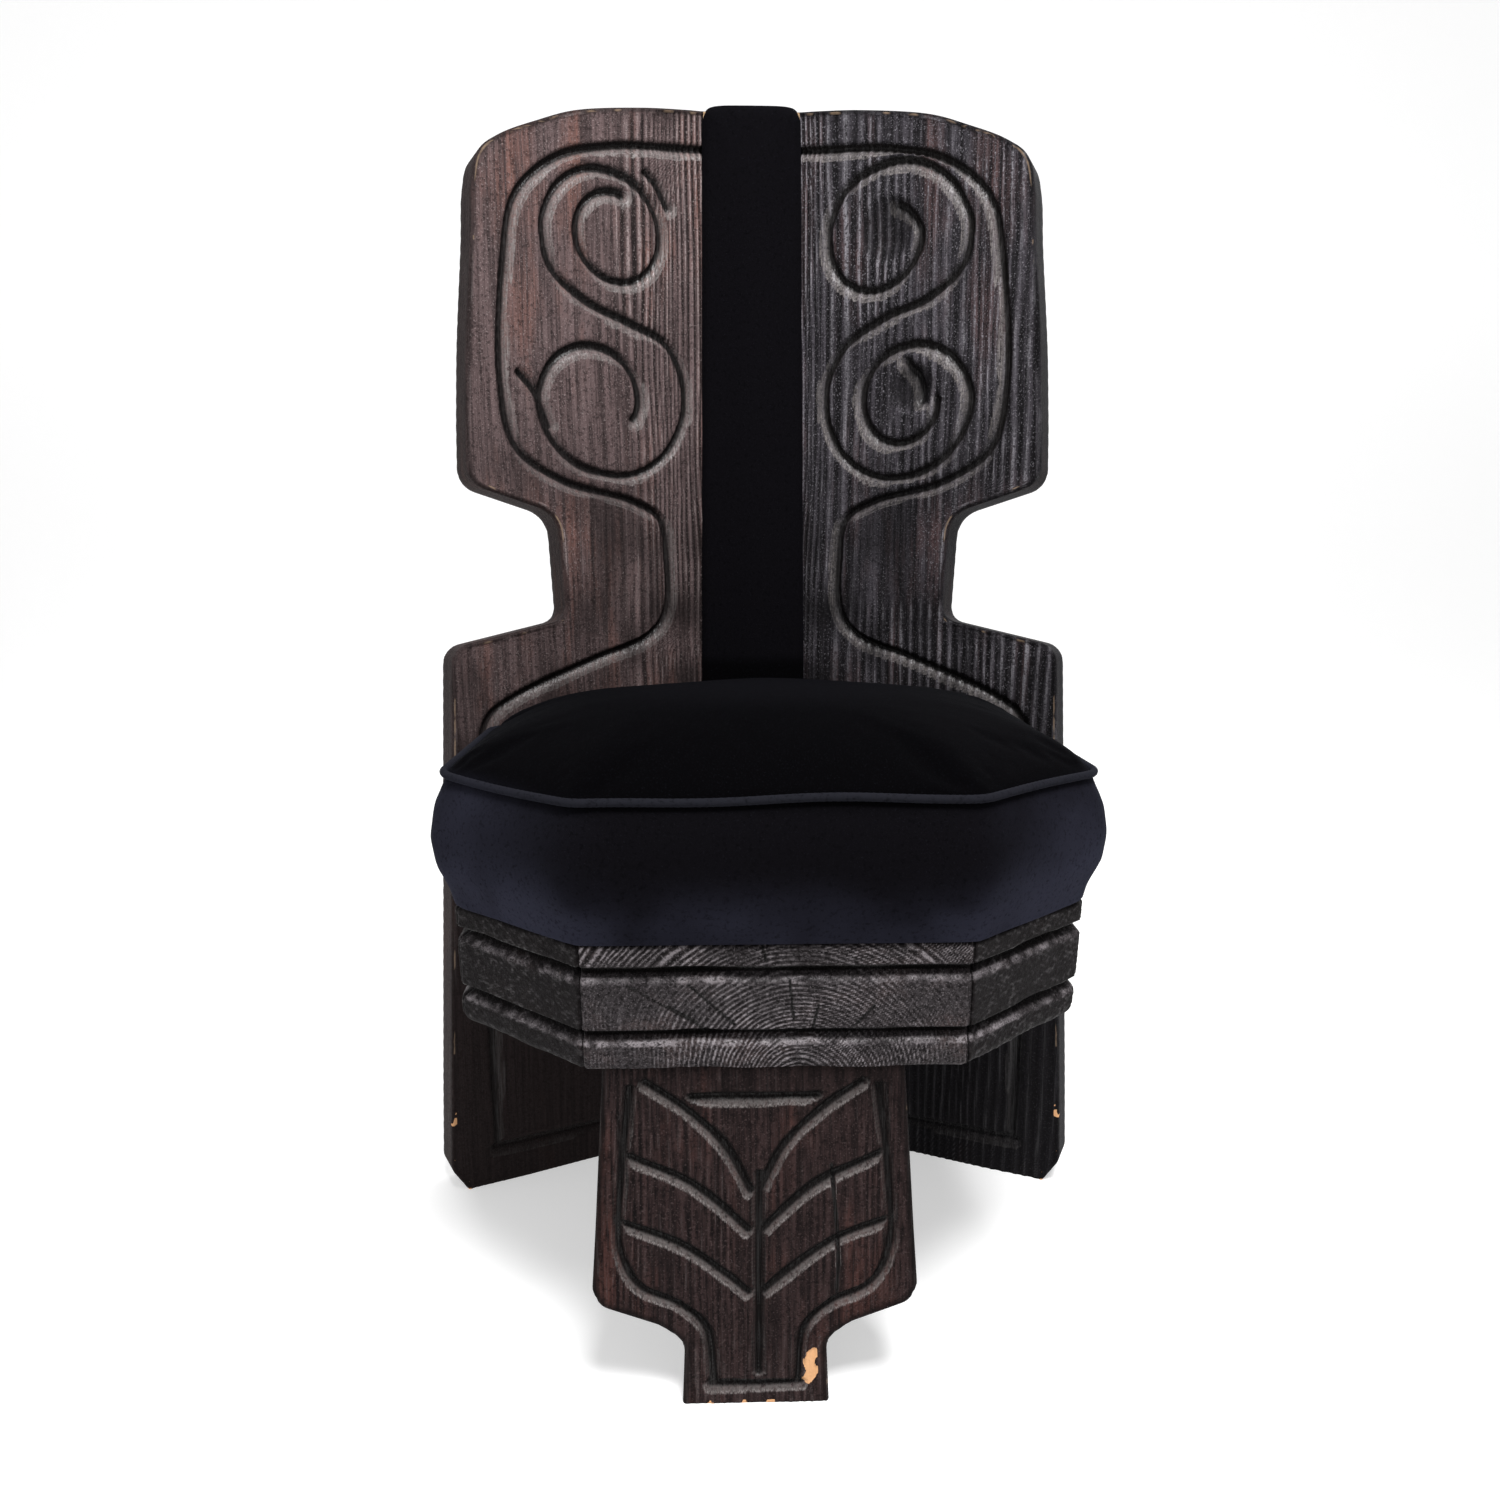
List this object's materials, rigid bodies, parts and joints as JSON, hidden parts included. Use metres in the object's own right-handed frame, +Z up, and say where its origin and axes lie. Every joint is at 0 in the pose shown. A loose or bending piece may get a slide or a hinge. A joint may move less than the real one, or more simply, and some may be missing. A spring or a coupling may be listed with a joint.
{
  "type": "side chair",
  "caption": "Low carved side chair: charred planks set in a shallow V form the back and rear legs, with a thick grooved seat, domed velvet cushion, padded spine strip and carved front leg.",
  "frame": {"origin": "on the floor, under the middle of the chair's own box", "axes": "+Z up, +Y towards the back of the chair, +X towards the right hand of someone facing the chair"},
  "size_m": [0.5898, 0.5206, 0.9224],
  "materials": {
    "charred_wood": "scorched and wire-brushed softwood with raised grain, dark brown-black stain and a low wax sheen",
    "inner_wood": "plain turned hardwood, unfinished",
    "plywood": "unfinished plywood",
    "foam": "open-cell upholstery foam",
    "velvet": "near-black blue cotton velvet, short pile with a bluish sheen at grazing angles",
    "steel": "zinc-plated steel screws"
  },
  "bodies": {
    "root": {"back_plank_left": "charred_wood", "back_plank_right": "charred_wood", "batten_screw_1": "steel", "batten_screw_2": "steel", "batten_screw_3": "steel", "brace_screw_1": "steel", "brace_screw_2": "steel", "cushion_board": "plywood", "cushion_boxing": "velvet", "cushion_foam": "foam", "cushion_screw_front_left": "steel", "cushion_screw_front_right": "steel", "cushion_screw_rear_left": "steel", "cushion_screw_rear_right": "steel", "cushion_top_panel": "velvet", "cushion_welt": "velvet", "front_leg": "charred_wood", "leg_brace": "charred_wood", "plank_left_inner_lag": "steel", "plank_left_inner_plug": "charred_wood", "plank_left_outer_lag": "steel", "plank_left_outer_plug": "charred_wood", "plank_right_inner_lag": "steel", "plank_right_inner_plug": "charred_wood", "plank_right_outer_lag": "steel", "plank_right_outer_plug": "charred_wood", "seat_dowel_left_1": "inner_wood", "seat_dowel_left_2": "inner_wood", "seat_dowel_right_1": "inner_wood", "seat_dowel_right_2": "inner_wood", "seat_timber_centre": "charred_wood", "seat_timber_left": "charred_wood", "seat_timber_right": "charred_wood", "spine_brace_lag": "steel", "spine_brace_plug": "charred_wood", "spine_post": "charred_wood", "spine_screw_left_1": "steel", "spine_screw_left_2": "steel", "spine_screw_left_3": "steel", "spine_screw_left_4": "steel", "spine_screw_right_1": "steel", "spine_screw_right_2": "steel", "spine_screw_right_3": "steel", "spine_screw_right_4": "steel", "strip_batten": "plywood", "strip_cover": "velvet", "strip_pad": "foam"}
  },
  "joints": []
}
